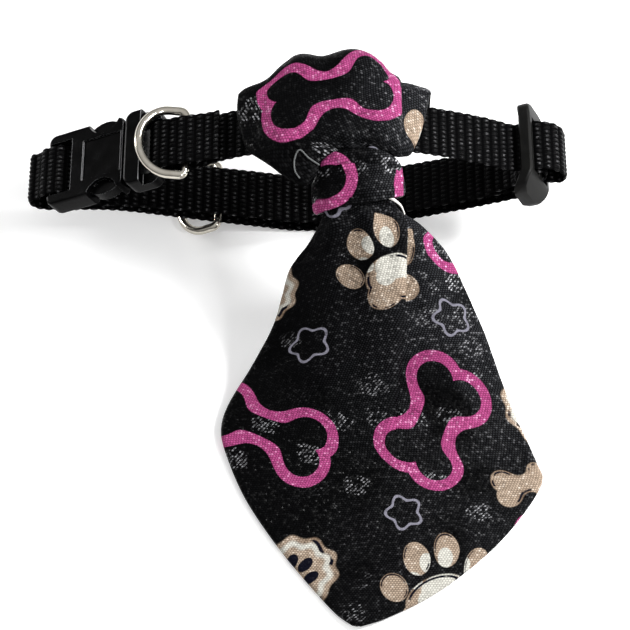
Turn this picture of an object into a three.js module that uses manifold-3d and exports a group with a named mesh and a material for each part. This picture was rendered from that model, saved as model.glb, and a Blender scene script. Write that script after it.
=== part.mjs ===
// Dog necktie: a short satin tie, gathered in a knot, on a webbing collar with a side-release buckle.
// Millimetres, +Z up. It lies on a surface: the collar stands open on its back strand, the tie goes
// over the front strand, and its blade runs down to the surface with the tip towards -Y.
import * as THREE from 'three';
import { mergeVertices } from 'three/addons/utils/BufferGeometryUtils.js';
import Module from 'manifold-3d';

const wasm = await Module();
wasm.setup();

// Driving dimensions
const GAP = 0.3;
const BOX_MIDDLE = { x: -5.4, y: -51.7 };
const WEBBING = { width: 15, thick: 1.4, longestStep: 8, sharpestTurn: 9, finePoints: 1600 };
const CLOTH = { loop: 1.6, knot: 1.8, blade: 2.0 };
const CLOTH_STEPS = { loop: [36, 18], knot: [36, 8], blade: [34, 20] };

// Side-release buckle. Its frame starts where the halves meet, x along the strap and z outward.
// PAST is how far a cut runs past the face it opens.
const BUCKLE = {
  x: -50.4, z: 28.8, tilt: -28, thick: 6.2, bevel: 0.9,
  socketLength: 24.3, socketWidth: 22.2, socketCorner: 2.4, plugLength: 10.4, plugWidth: 23, plugCorner: 2.6,
  shoulder: 5.4, slotWidth: 16.4, socketSlot: 5.2, socketBar: 2.6, plugBar: 2.0, socketBarThick: 2.6,
  plugBarThick: 2.0, plugBarDrop: 1.8, plugTailTop: 0.5,
  cavityWidth: 16.4, cavityThick: 3.8, cavityDepth: 13, windowRadius: 5, windowDepth: 3.9, windowAt: -6.4,
  panelWidth: 12.6, panelLength: 12, panelDepth: 0.5, panelEdge: 0.8,
  prongWidth: 1.8, prongReach: 4.2, prongRoot: 1.5, guideWidth: 2.8, guideShort: 2,
  buttonReach: 11.4, buttonRound: 7,
};
const PAST = 1;
const CORNER_STEPS = 5;
const DRUM_SIDES = 24;

// Three-bar length slider, its long side across the strap and its ends bent inward.
const SLIDER = {
  x: 59.0, z: 29.2, tilt: 65, length: 27, width: 14, thick: 3.4, bevel: 0.5, corner: 3.6,
  barWidth: 2.0, middleBar: 2.2, slotLength: 16.6, nearBend: 3.2, farBend: 0.7, bendCurve: 1.5, endSteps: 7,
};

// D-rings: a straight bar across the strap and a round bow, in wire of one thickness.
const RING = { wire: 2.4, halfWidth: 10, straight: 4.4, reach: 12.6, corner: 1.6, steps: 36, sides: 8 };
const FRONT_RING = { x: -34.7, z: 34.3, tilt: 9 };
const BACK_RING = { x: -27.0, z: 7.7, tilt: -30.5 };

// The knot's band and the line of the tie through it. Its edges are measured from its middle: the upper
// edge is arched in front, and both edges slant from left to right.
const KNOT = {
  x: 11.4, y: -17.2, z: 40.0, slope: 27, halfWidth: 11.4, halfHeight: 6.4, roundness: 2.7,
  taper: 0.05, swell: 0.08, roll: 0.06, rollAt: -0.62, rollWidth: 0.14,
  upperFront: 10.0, upperSide: 3.1, upperSlant: 1.5, lower: 4.8, lowerSlant: -2.4,
};

// Back strand of the collar: its outer layer, and how far above it the inner layer lies.
const BACK_STRAND = [
  { x: 50.5, z: 16.2, apart: 3.6 },
  { x: 45.2, z: 14.0, apart: 4.2 },
  { x: 30.4, z: 8.4, apart: 4.6 },
  { x: 15.0, z: 2.9, apart: 4.8 },
  { x: 8.5, z: 0.6, apart: 4.9 },
  { x: 1.5, z: 0.2, apart: 5.3 },
  { x: -5.5, z: 0.6, apart: 4.9 },
  { x: -15.3, z: 2.8, apart: 4.8 },
  { x: -27.0, z: 5.4, apart: 4.6 },
  { x: -37.3, z: 7.9, apart: 4.2 },
  { x: -54.9, z: 11.8, apart: 2.6 },
  { x: -66.0, z: 12.1, apart: 1.9 },
];

// Front strand of the collar, from the slider to the D-ring.
const FRONT_STRAND = [
  { x: 49.0, z: 34.0 },
  { x: 44.3, z: 36.0 },
  { x: 31.5, z: 40.2 },
  { x: 18.0, z: 43.3 },
  { x: 5.0, z: 44.5 },
  { x: -8.0, z: 42.9 },
  { x: -20.0, z: 39.4 },
  { x: -25.6, z: 37.0 },
  { x: -30.0, z: 34.4 },
  { x: -34.7, z: 31.9 },
];

// Cloth over the strap, from the front of the knot to the back: its line in the middle, its two
// edges, how far their ends hang towards the tip, and how much of the strand's arch it follows.
const LOOP = [
  { y: -17.1, z: 42.0, left: 3.0, right: 19.8, hangLeft: 0, hangRight: 0, arch: 0 },
  { y: -10.2, z: 44.9, left: 3.0, right: 20.0, hangLeft: 0, hangRight: 0, arch: 0 },
  { y: -9.6, z: 46.8, left: -4.4, right: 22.8, hangLeft: 8.6, hangRight: 1.8, arch: 0.3 },
  { y: -8.5, z: 48.3, left: -8.4, right: 25.2, hangLeft: 7.6, hangRight: 3.2, arch: 0.6 },
  { y: -6.6, z: 49.9, left: -12.6, right: 27.2, hangLeft: 6.6, hangRight: 4.2, arch: 0.9 },
  { y: -1.6, z: 50.4, left: -18.0, right: 29.4, hangLeft: 6.4, hangRight: 3.2, arch: 1 },
  { y: 4.6, z: 50.3, left: -20.5, right: 30.8, hangLeft: 3.0, hangRight: 1.6, arch: 1 },
  { y: 11.0, z: 50.0, left: -20.5, right: 30.8, hangLeft: 0, hangRight: 0, arch: 1 },
  { y: 17.5, z: 49.3, left: -20.5, right: 30.8, hangLeft: 0, hangRight: 0, arch: 1 },
  { y: 20.5, z: 46.6, left: -20.5, right: 30.8, hangLeft: 0, hangRight: 0, arch: 1 },
  { y: 17.5, z: 43.7, left: -20.5, right: 30.8, hangLeft: 0, hangRight: 0, arch: 1 },
  { y: 9.0, z: 42.0, left: -20.5, right: 30.8, hangLeft: 0, hangRight: 0, arch: 1 },
  { y: 0.0, z: 41.5, left: -19.5, right: 30.0, hangLeft: 0, hangRight: 0, arch: 1 },
  { y: -4.0, z: 41.1, left: -10.0, right: 25.5, hangLeft: 0, hangRight: 0, arch: 1 },
  { y: -7.4, z: 41.9, left: -0.4, right: 19.5, hangLeft: 4.6, hangRight: 0, arch: 0.5 },
  { y: -15.5, z: 38.7, left: 3.6, right: 19.2, hangLeft: 0, hangRight: 0, arch: 0 },
];

// How far the cloth reaches past the strap at its upper fold.
const LOOP_FOLD_LINE = [
  { x: -20.5, y: 8.8 },
  { x: -18.2, y: 10.4 },
  { x: -13.3, y: 12.4 },
  { x: -6.7, y: 18.4 },
  { x: -3.2, y: 19.8 },
  { x: 2.0, y: 18.6 },
  { x: 8.0, y: 20.6 },
  { x: 12.5, y: 20.6 },
  { x: 17.3, y: 17.2 },
  { x: 20.8, y: 11.8 },
  { x: 25.0, y: 10.8 },
  { x: 29.0, y: 9.9 },
  { x: 30.8, y: 8.8 },
];
const LOOP_REACH = { from: 7.5, full: 20.5 };
const LOOP_CORNER = { droop: 0.3, power: 4 };

// Gathers grow as the cloth leaves the knot.
const GATHER = { from: 0.03, full: 0.14 };

// Gathers of the loop's front: where they leave the knot, where they fade, and how proud they are.
const LOOP_FOLDS = [
  { start: -0.55, end: -0.75, height: 1.1, width: 0.16, fade: 0.34 },
  { start: 0.05, end: 0.0, height: 0.9, width: 0.14, fade: 0.38 },
  { start: 0.5, end: 0.52, height: 1.2, width: 0.13, fade: 0.53 },
];

// Blade outline seen from above, a row for each section across it from the knot to the tip.
const BLADE = [
  { leftX: 3.2, leftY: -18.8, rightX: 19.2, rightY: -18.2, droop: 0 },
  { leftX: 2.0, leftY: -24.2, rightX: 21.8, rightY: -22.8, droop: 2.2 },
  { leftX: -1.2, leftY: -28.6, rightX: 28.6, rightY: -26.0, droop: 4.2 },
  { leftX: -6.6, leftY: -33.2, rightX: 34.8, rightY: -30.0, droop: 6.6 },
  { leftX: -8.8, leftY: -38.4, rightX: 39.6, rightY: -36.4, droop: 6.2 },
  { leftX: -11.4, leftY: -45.0, rightX: 44.8, rightY: -45.4, droop: 4.4 },
  { leftX: -17.4, leftY: -53.6, rightX: 49.6, rightY: -55.6, droop: 4.4 },
  { leftX: -23.2, leftY: -62.4, rightX: 54.6, rightY: -67.6, droop: 3.4 },
  { leftX: -25.0, leftY: -69.3, rightX: 58.6, rightY: -78.4, droop: 1.8 },
  { leftX: -23.6, leftY: -76.4, rightX: 59.8, rightY: -84.4, droop: 1.0 },
  { leftX: -18.4, leftY: -88.9, rightX: 53.6, rightY: -94.6, droop: 0.6 },
  { leftX: -10.4, leftY: -101.6, rightX: 44.6, rightY: -104.6, droop: 0.6 },
  { leftX: -2.6, leftY: -111.8, rightX: 31.4, rightY: -115.2, droop: 0.6 },
  { leftX: 5.0, leftY: -120.6, rightX: 18.4, rightY: -122.0, droop: 0.5 },
  { leftX: 9.6, leftY: -124.2, rightX: 11.6, rightY: -124.4, droop: 0.2 },
];

// Height of the blade's middle above the surface, from the knot to the tip.
const BLADE_HEIGHT = [
  { y: -18.6, z: 41.9 },
  { y: -24.6, z: 39.2 },
  { y: -32.0, z: 31.8 },
  { y: -42.0, z: 21.4 },
  { y: -52.0, z: 12.4 },
  { y: -62.0, z: 6.2 },
  { y: -72.0, z: 3.2 },
  { y: -85.0, z: 1.9 },
  { y: -105.0, z: 1.6 },
  { y: -126.0, z: 1.4 },
];

// Gathers of the blade: ridges that leave the knot and fade, measured as LOOP_FOLDS are.
const BLADE_FOLDS = [
  { start: -0.62, end: -0.4, height: 2.0, width: 0.2, fade: 0.6 },
  { start: 0.05, end: -0.05, height: 1.8, width: 0.17, fade: 0.62 },
  { start: 0.66, end: 0.55, height: 1.3, width: 0.17, fade: 0.5 },
];

// The pleat: the left side of the blade lies over the right side along one crease, its line given in x.
const PLEAT = {
  startX: 21.6, endX: 19.8, step: 3.4, sharp: 1.1, soft: 12, from: 0.09, full: 0.19, ease: 0.3, fade: 0.58,
};

const COLOURS = { webbing: 0x111112, plastic: 0x16171a, slider: 0x2f3031, nickel: 0xc9c4b6, satin: 0x17161a };

// Reads a column of a table on a smooth curve through its rows, at a fractional row.
function tableRow(table, name, row) {
  const last = table.length - 1;
  const i = Math.max(0, Math.min(Math.floor(row), last - 1));
  const f = row - i;
  const [a, b, c, d] = [i - 1, i, i + 1, i + 2].map((k) => table[Math.max(0, Math.min(last, k))][name]);
  return b + 0.5 * f * (c - a + f * (2 * a - 5 * b + 4 * c - d + f * (3 * (b - c) + d - a)));
}

// Reads a column of a table where another column has a given value. The key column is in order.
function tableAt(table, key, name, value) {
  const last = table.length - 1;
  const rising = table[last][key] > table[0][key];
  const reached = (row) => (rising ? row[key] >= value : row[key] <= value);
  const found = table.findIndex(reached);
  if (found === 0) return table[0][name];
  if (found < 0) return table[last][name];
  const span = table[found][key] - table[found - 1][key];
  return tableRow(table, name, found - 1 + (value - table[found - 1][key]) / span);
}

function bump(distance, width) {
  return Math.exp(-((distance / width) ** 2));
}

// Ridges of gathered cloth at a place: s runs along the sheet from the knot and t across it.
function gathers(folds, s, t) {
  let height = 0;
  for (const fold of folds) {
    const grown = THREE.MathUtils.smoothstep(s, GATHER.from, GATHER.full);
    const left = Math.max(0, 1 - s / fold.fade);
    const at = THREE.MathUtils.lerp(fold.start, fold.end, Math.min(1, s / fold.fade));
    height += fold.height * grown * Math.sqrt(left) * bump(t - at, fold.width);
  }
  return height;
}

// A point given in a piece's own frame, as a point in the plane of the collar.
function inCollar(frame, along, out) {
  const turn = THREE.MathUtils.degToRad(frame.tilt);
  const x = frame.x + along * Math.cos(turn) + out * Math.sin(turn);
  const z = frame.z - along * Math.sin(turn) + out * Math.cos(turn);
  return new THREE.Vector3(x, 0, z);
}

// Joins rings of points into one closed body. Open lofts get end faces between a ring's two halves.
function loft(rings, closed) {
  const count = rings[0].length;
  const index = [];
  const steps = closed ? rings.length : rings.length - 1;
  for (let i = 0; i < steps; i += 1) {
    const here = i * count;
    const next = ((i + 1) % rings.length) * count;
    for (let k = 0; k < count; k += 1) {
      const turn = (k + 1) % count;
      index.push(here + k, next + k, next + turn, here + k, next + turn, here + turn);
    }
  }
  if (!closed) {
    const end = (rings.length - 1) * count;
    for (let k = 0; k < count / 2 - 1; k += 1) {
      const [a, b, c, d] = [k, k + 1, count - 2 - k, count - 1 - k];
      index.push(a, b, c, a, c, d, end + a, end + c, end + b, end + a, end + d, end + c);
    }
  }
  const geometry = new THREE.BufferGeometry();
  geometry.setAttribute('position', new THREE.BufferAttribute(
    new Float32Array(rings.flat().flatMap((p) => [p.x, p.y, p.z])), 3));
  geometry.setIndex(facingOut(rings.flat(), index));
  geometry.computeVertexNormals();
  return geometry;
}

function facingOut(points, index) {
  let volume = 0;
  for (let i = 0; i < index.length; i += 3) {
    const [a, b, c] = [points[index[i]], points[index[i + 1]], points[index[i + 2]]];
    volume += a.dot(b.clone().cross(c));
  }
  return volume > 0 ? index : index.toReversed();
}

// A sheet of cloth of even thickness about a surface. Closed sheets join their two ends.
function sheet(surface, [along, across], thick, closed = false) {
  const rings = [];
  const small = 1e-3;
  for (let i = 0; i < (closed ? along : along + 1); i += 1) {
    const s = i / along;
    const over = [];
    const under = [];
    for (let j = 0; j <= across; j += 1) {
      const t = -1 + (2 * j) / across;
      const lengthwise = surface(s + small, t).sub(surface(s - small, t));
      const crosswise = surface(s, t + small).sub(surface(s, t - small));
      const out = lengthwise.cross(crosswise).setLength(thick / 2);
      const middle = surface(s, t);
      over.push(middle.clone().add(out));
      under.unshift(middle.clone().sub(out));
    }
    rings.push([...over, ...under]);
  }
  return loft(rings, closed);
}

// Collar strap

function strapRoute() {
  const slider = (along, out) => inCollar(SLIDER, along, out);
  const buckle = (along, out) => inCollar(BUCKLE, along, out);
  const flat = (x, z) => new THREE.Vector3(x, 0, z);
  const sewnEnd = [
    flat(46.5, 20.6), flat(50.6, 22.4), slider(1.2, -6.0), slider(-1.0, -4.6), slider(-2.05, -2.8),
    slider(-2.15, -0.8), slider(-2.15, 1.2), slider(-1.6, 2.6), slider(0, 3.0), slider(1.6, 2.6),
    slider(2.15, 1.2), slider(2.15, -0.8), slider(2.4, -2.8), slider(3.6, -4.4), slider(4.6, -5.8),
    slider(4.6, -7.4),
  ];
  const innerBack = BACK_STRAND.map((row) => flat(row.x, row.z + row.apart)).slice(1);
  const roundSocketBar = [
    flat(-71.4, 14.0), flat(-73.4, 14.1), buckle(-25.2, -2.9), buckle(-22.6, -2.8), buckle(-20.2, -2.3),
    buckle(-18.7, -0.9), buckle(-18.7, 0.9), buckle(-20.2, 2.5), buckle(-22.6, 3.0), buckle(-25.6, 3.0),
    buckle(-27.4, 2.0), flat(-78.0, 16.4), flat(-77.2, 13.6), flat(-74.2, 12.2), flat(-70.6, 12.0),
  ];
  const outerBack = BACK_STRAND.map((row) => flat(row.x, row.z)).reverse();
  const throughSlider = [
    flat(56.0, 18.6), slider(8.3, -3.4), slider(6.6, -2.85), slider(5.0, -2.75), slider(4.15, -2.0),
    slider(3.95, -0.6), slider(3.9, 0.8), slider(3.95, 2.4), slider(5.2, 4.2), slider(5.2, 6.4),
    slider(2.9, 7.4), slider(-0.6, 6.4), slider(-3.0, 4.0), slider(-3.9, 1.8), slider(-3.95, 0.2),
    slider(-4.0, -1.4), slider(-4.4, -2.8), slider(-5.6, -4.6),
  ];
  const front = FRONT_STRAND.map((row) => flat(row.x, row.z));
  const foldedOver = [
    buckle(10.6, -3.9), buckle(8.8, -3.9), buckle(7.4, -3.1), buckle(6.85, -1.8), buckle(7.1, -0.5),
    buckle(8.2, 0.25), buckle(10.4, 0.5), flat(-38.6, 35.2), flat(-34.7, 36.6), flat(-30.0, 37.5),
    flat(-25.6, 39.1),
  ];
  return [sewnEnd, innerBack, roundSocketBar, outerBack, throughSlider, front, foldedOver].flat();
}

// Stations along the route, close together only where it bends. It lies flat where it meets the surface.
function strapStations() {
  const curve = new THREE.CatmullRomCurve3(strapRoute(), false, 'centripetal');
  const fine = curve.getSpacedPoints(WEBBING.finePoints);
  fine.forEach((point) => point.setZ(Math.max(point.z, WEBBING.thick / 2)));
  const last = fine.length - 1;
  const heading = (i) => fine[Math.min(i + 1, last)].clone().sub(fine[Math.max(i - 1, 0)]).normalize();
  const stations = [];
  let keptHeading = null;
  for (let i = 0; i < fine.length; i += 1) {
    const now = heading(i);
    const kept = stations.at(-1);
    const turned = keptHeading ? THREE.MathUtils.radToDeg(now.angleTo(keptHeading)) : Infinity;
    const far = kept ? fine[i].distanceTo(kept.place) > WEBBING.longestStep : true;
    if (turned > WEBBING.sharpestTurn || far || i === last) {
      stations.push({ place: fine[i], out: new THREE.Vector3(-now.z, 0, now.x) });
      keptHeading = now;
    }
  }
  return stations;
}

function collarStrap() {
  const half = WEBBING.width / 2;
  const across = new THREE.Vector3(0, half, 0);
  const rings = strapStations().map(({ place, out }) => {
    const step = out.clone().multiplyScalar(WEBBING.thick / 2);
    const over = place.clone().add(step);
    const under = place.clone().sub(step);
    const ends = [over.clone().sub(across), over.clone().add(across)];
    return [...ends, under.clone().add(across), under.clone().sub(across)];
  });
  return loft(rings, false);
}

// D-rings

function ringLine() {
  const { halfWidth, straight, reach, corner, steps } = RING;
  const path = new THREE.Path();
  path.moveTo(0, -halfWidth + corner);
  path.lineTo(0, halfWidth - corner);
  path.quadraticCurveTo(0, halfWidth, -corner, halfWidth);
  path.lineTo(-straight, halfWidth);
  path.absellipse(-straight, 0, reach - straight, halfWidth, Math.PI / 2, Math.PI * 1.5, false, 0);
  path.lineTo(-corner, -halfWidth);
  path.quadraticCurveTo(0, -halfWidth, 0, -halfWidth + corner);
  return path.getSpacedPoints(steps).slice(0, -1);
}

function wireRing() {
  const line = ringLine();
  const rings = line.map((point, i) => {
    const before = line[(i + line.length - 1) % line.length];
    const after = line[(i + 1) % line.length];
    const side = new THREE.Vector2(after.y - before.y, before.x - after.x).normalize();
    return Array.from({ length: RING.sides }, (_, k) => {
      const turn = (2 * Math.PI * (k + 0.5)) / RING.sides;
      const radius = RING.wire / 2;
      const out = radius * Math.cos(turn);
      return new THREE.Vector3(point.x + side.x * out, point.y + side.y * out, radius * Math.sin(turn));
    });
  });
  return loft(rings, true);
}

// Plastic pieces

function solid(geometry) {
  geometry.deleteAttribute('normal');
  geometry.deleteAttribute('uv');
  const merged = mergeVertices(geometry, 1e-5);
  const mesh = new wasm.Mesh({
    numProp: 3,
    vertProperties: new Float32Array(merged.attributes.position.array),
    triVerts: new Uint32Array(merged.index.array),
  });
  return new wasm.Manifold(mesh);
}

function geometryOf(manifold) {
  const mesh = manifold.getMesh();
  const geometry = new THREE.BufferGeometry();
  geometry.setAttribute('position', new THREE.BufferAttribute(new Float32Array(mesh.vertProperties), 3));
  geometry.setIndex(new THREE.BufferAttribute(new Uint32Array(mesh.triVerts), 1));
  geometry.computeVertexNormals();
  return geometry;
}

function block(x0, x1, y0, y1, z0, z1) {
  const geometry = new THREE.BoxGeometry(x1 - x0, y1 - y0, z1 - z0);
  geometry.translate((x0 + x1) / 2, (y0 + y1) / 2, (z0 + z1) / 2);
  return solid(geometry);
}

function roundedOutline(x0, x1, halfWidth, radius) {
  const shape = new THREE.Shape();
  const quarter = Math.PI / 2;
  shape.absarc(x1 - radius, halfWidth - radius, radius, 0, quarter, false);
  shape.absarc(x0 + radius, halfWidth - radius, radius, quarter, 2 * quarter, false);
  shape.absarc(x0 + radius, radius - halfWidth, radius, 2 * quarter, 3 * quarter, false);
  shape.absarc(x1 - radius, radius - halfWidth, radius, 3 * quarter, 4 * quarter, false);
  return shape;
}

// A plate of an outline, bevelled all round and centred on its own plane.
function plateGeometry(shape, thick, bevel) {
  const geometry = new THREE.ExtrudeGeometry(shape, {
    depth: thick - 2 * bevel, bevelEnabled: true, bevelThickness: bevel, bevelSize: bevel,
    bevelOffset: -bevel, bevelSegments: 2, curveSegments: CORNER_STEPS,
  });
  geometry.translate(0, 0, bevel - thick / 2);
  return geometry;
}

function drum(x, y, radius, thick) {
  const geometry = new THREE.CylinderGeometry(radius, radius, thick, DRUM_SIDES);
  geometry.rotateX(Math.PI / 2);
  geometry.translate(x, y, 0);
  return solid(geometry);
}

// How far from the middle the round side windows of the socket are centred.
function windowCentre() {
  return BUCKLE.socketWidth / 2 + BUCKLE.windowRadius - BUCKLE.windowDepth;
}

function buckleSocket() {
  const { socketLength, socketWidth, thick, bevel, slotWidth, socketBar, socketBarThick } = BUCKLE;
  const { cavityWidth, cavityThick, cavityDepth, windowAt, windowRadius } = BUCKLE;
  const { panelWidth, panelLength, panelDepth, panelEdge, socketCorner, socketSlot } = BUCKLE;
  const far = thick;
  const end = -socketLength - PAST;
  const half = slotWidth / 2;
  const slotStart = socketBar - socketLength;
  const outline = roundedOutline(-socketLength, 0, socketWidth / 2, socketCorner);
  let body = solid(plateGeometry(outline, thick, bevel));
  body = body.subtract(block(slotStart, slotStart + socketSlot, -half, half, -far, far));
  body = body.subtract(block(end, slotStart + PAST, -half, half, socketBarThick / 2, far));
  body = body.subtract(block(end, slotStart + PAST, -half, half, -far, -socketBarThick / 2));
  body = body.subtract(block(
    -cavityDepth, PAST, -cavityWidth / 2, cavityWidth / 2, -cavityThick / 2, cavityThick / 2));
  body = body.subtract(drum(windowAt, windowCentre(), windowRadius, 2 * far));
  body = body.subtract(drum(windowAt, -windowCentre(), windowRadius, 2 * far));
  const panelTop = thick / 2 - panelDepth;
  body = body.subtract(block(
    -panelEdge - panelLength, -panelEdge, -panelWidth / 2, panelWidth / 2, panelTop, far));
  return geometryOf(body);
}

function bucklePlug() {
  const { plugLength, plugWidth, plugCorner, shoulder, thick, bevel, slotWidth } = BUCKLE;
  const { plugBar, plugBarThick, plugBarDrop, plugTailTop, cavityWidth, cavityThick, windowAt } = BUCKLE;
  const { prongWidth, prongReach, prongRoot, guideWidth, guideShort } = BUCKLE;
  const { windowRadius, buttonReach, buttonRound } = BUCKLE;
  const far = thick;
  const end = plugLength + PAST;
  const half = slotWidth / 2;
  const barStart = plugLength - plugBar;
  const barTop = plugBarThick / 2 - plugBarDrop;
  const prongOuter = cavityWidth / 2 - GAP;
  const prongThick = cavityThick / 2 - GAP;
  let body = solid(plateGeometry(roundedOutline(GAP, plugLength, plugWidth / 2, plugCorner), thick, bevel));
  body = body.subtract(block(shoulder, barStart, -half, half, -far, far));
  body = body.subtract(block(shoulder, end, -plugWidth, plugWidth, plugTailTop, far));
  body = body.subtract(block(barStart - PAST, end, -half, half, barTop, far));
  body = body.subtract(block(barStart - PAST, end, -half, half, -far, barTop - plugBarThick));
  const prongEnd = windowAt - prongReach;
  for (const side of [-1, 1]) {
    const [inner, outer] = [side * (prongOuter - prongWidth), side * prongOuter].sort((a, b) => a - b);
    body = body.add(block(prongEnd, prongRoot, inner, outer, -prongThick, prongThick));
    const inWindow = drum(windowAt, side * windowCentre(), windowRadius - GAP, 2 * prongThick);
    const button = drum(windowAt, side * (buttonReach - buttonRound), buttonRound, 2 * prongThick);
    body = body.add(button.intersect(inWindow));
  }
  const guide = guideWidth / 2;
  body = body.add(block(prongEnd + guideShort, prongRoot, -guide, guide, -prongThick, prongThick));
  return geometryOf(body);
}

// The slider is lofted along its length, so that its ends can round off and bend, and then slotted.
function slideAdjuster() {
  const { length, width, thick, bevel, corner, barWidth, middleBar, slotLength, endSteps } = SLIDER;
  const straight = slotLength / 2;
  const step = (length / 2 - straight) / endSteps;
  const past = Array.from({ length: endSteps + 1 }, (_, i) => straight + step * i);
  const stations = [...past.toReversed().map((y) => -y), ...past];
  const rings = stations.map((y) => {
    const intoCorner = Math.max(0, Math.abs(y) - (length / 2 - corner));
    const half = width / 2 - corner + Math.sqrt(corner ** 2 - intoCorner ** 2);
    const most = y < 0 ? SLIDER.nearBend : SLIDER.farBend;
    const bend = most * ((Math.abs(y) - straight) / (length / 2 - straight)) ** SLIDER.bendCurve;
    const side = half - bevel;
    const face = thick / 2 - bevel;
    const section = [
      [-side, thick / 2], [side, thick / 2], [half, face], [half, -face],
      [side, -thick / 2], [-side, -thick / 2], [-half, -face], [-half, face],
    ];
    return section.map(([x, z]) => new THREE.Vector3(x, y, z - bend));
  });
  let body = solid(loft(rings, false));
  for (const side of [-1, 1]) {
    const [near, far] = [side * middleBar / 2, side * (width / 2 - barWidth)].sort((a, b) => a - b);
    body = body.subtract(block(near, far, -straight, straight, -thick, thick));
  }
  return geometryOf(body);
}

// Tie

function frontStrandDrop(x) {
  const top = Math.max(...FRONT_STRAND.map((row) => row.z));
  return tableAt(FRONT_STRAND, 'x', 'z', x) - top;
}

// Cloth over the strap: s from the front of the knot over the strap to its back, t from left to right.
function loopSurface(s, t) {
  const row = s * (LOOP.length - 1);
  const x = THREE.MathUtils.lerp(tableRow(LOOP, 'left', row), tableRow(LOOP, 'right', row), (t + 1) / 2);
  const hang = tableRow(LOOP, t < 0 ? 'hangLeft' : 'hangRight', row) * t ** LOOP_CORNER.power;
  let y = tableRow(LOOP, 'y', row) - hang;
  if (y > LOOP_REACH.from) {
    const { from, full } = LOOP_REACH;
    const reach = (tableAt(LOOP_FOLD_LINE, 'x', 'y', x) - from) / (full - from);
    y = from + (y - from) * reach;
  }
  const arch = tableRow(LOOP, 'arch', row) * frontStrandDrop(x);
  const z = tableRow(LOOP, 'z', row) + arch - LOOP_CORNER.droop * hang;
  return new THREE.Vector3(x, y, z + gathers(LOOP_FOLDS, s, t));
}

// Band of the knot: s round it, t along the tie from its upper edge to its lower one.
function knotSurface(s, t) {
  const turn = 2 * Math.PI * s;
  const slope = THREE.MathUtils.degToRad(KNOT.slope);
  const round = (value) => Math.sign(value) * Math.abs(value) ** (2 / KNOT.roundness);
  const roll = KNOT.roll * bump(t - KNOT.rollAt, KNOT.rollWidth);
  const swell = 1 + KNOT.swell * (1 - t * t) + KNOT.taper * t - roll;
  const wide = (KNOT.halfWidth - CLOTH.knot / 2) * swell * round(Math.cos(turn));
  const high = (KNOT.halfHeight - CLOTH.knot / 2) * swell * round(Math.sin(turn));
  const aside = Math.cos(turn);
  const upperSide = KNOT.upperSide + KNOT.upperSlant * aside;
  const upper = THREE.MathUtils.lerp(upperSide, KNOT.upperFront, Math.max(0, Math.sin(turn)));
  const along = (t < 0 ? upper : KNOT.lower + KNOT.lowerSlant * aside) * t;
  return new THREE.Vector3(
    KNOT.x + wide,
    KNOT.y - along * Math.cos(slope) - high * Math.sin(slope),
    KNOT.z - along * Math.sin(slope) + high * Math.cos(slope));
}

// Blade: s from inside the knot to the tip, t from its left edge to its right one.
function bladeSurface(s, t) {
  const row = s * (BLADE.length - 1);
  const across = (t + 1) / 2;
  const x = THREE.MathUtils.lerp(tableRow(BLADE, 'leftX', row), tableRow(BLADE, 'rightX', row), across);
  const y = THREE.MathUtils.lerp(tableRow(BLADE, 'leftY', row), tableRow(BLADE, 'rightY', row), across);
  const height = tableAt(BLADE_HEIGHT, 'y', 'z', y) - tableRow(BLADE, 'droop', row) * t * t;
  const lift = gathers(BLADE_FOLDS, s, t) + pleat(s, x);
  return new THREE.Vector3(x, y, Math.max(height + lift, CLOTH.blade / 2));
}

function pleat(s, x) {
  const grown = THREE.MathUtils.smoothstep(s, PLEAT.from, PLEAT.full);
  const left = grown * (1 - THREE.MathUtils.smoothstep(s, PLEAT.ease, PLEAT.fade));
  const crease = THREE.MathUtils.lerp(PLEAT.startX, PLEAT.endX, Math.min(1, s / PLEAT.fade));
  const over = THREE.MathUtils.smoothstep(crease - x, -PLEAT.sharp, PLEAT.sharp);
  const settled = Math.exp(-Math.max(0, crease - x) / PLEAT.soft);
  return PLEAT.step * left * over * settled;
}

// Assembly

function piece(name, geometry, colour, roughness, metalness = 0) {
  const material = new THREE.MeshStandardMaterial({ color: colour, roughness, metalness });
  const mesh = new THREE.Mesh(geometry, material);
  mesh.name = name;
  return mesh;
}

function placed(mesh, frame) {
  mesh.position.set(frame.x, 0, frame.z);
  mesh.rotation.y = THREE.MathUtils.degToRad(frame.tilt);
  return mesh;
}

const necktie = new THREE.Group();
necktie.position.set(-BOX_MIDDLE.x, -BOX_MIDDLE.y, 0);
necktie.add(
  piece('collar_strap', collarStrap(), COLOURS.webbing, 0.85),
  placed(piece('buckle_socket', buckleSocket(), COLOURS.plastic, 0.4), BUCKLE),
  placed(piece('buckle_plug', bucklePlug(), COLOURS.plastic, 0.4), BUCKLE),
  placed(piece('slide_adjuster', slideAdjuster(), COLOURS.slider, 0.5), SLIDER),
  placed(piece('d_ring', wireRing(), COLOURS.nickel, 0.25, 1), FRONT_RING),
  placed(piece('d_ring_back', wireRing(), COLOURS.nickel, 0.25, 1), BACK_RING),
  piece('tie_loop', sheet(loopSurface, CLOTH_STEPS.loop, CLOTH.loop), COLOURS.satin, 0.45),
  piece('tie_knot', sheet(knotSurface, CLOTH_STEPS.knot, CLOTH.knot, true), COLOURS.satin, 0.45),
  piece('tie_blade', sheet(bladeSurface, CLOTH_STEPS.blade, CLOTH.blade), COLOURS.satin, 0.45),
);

export default necktie;
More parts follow.
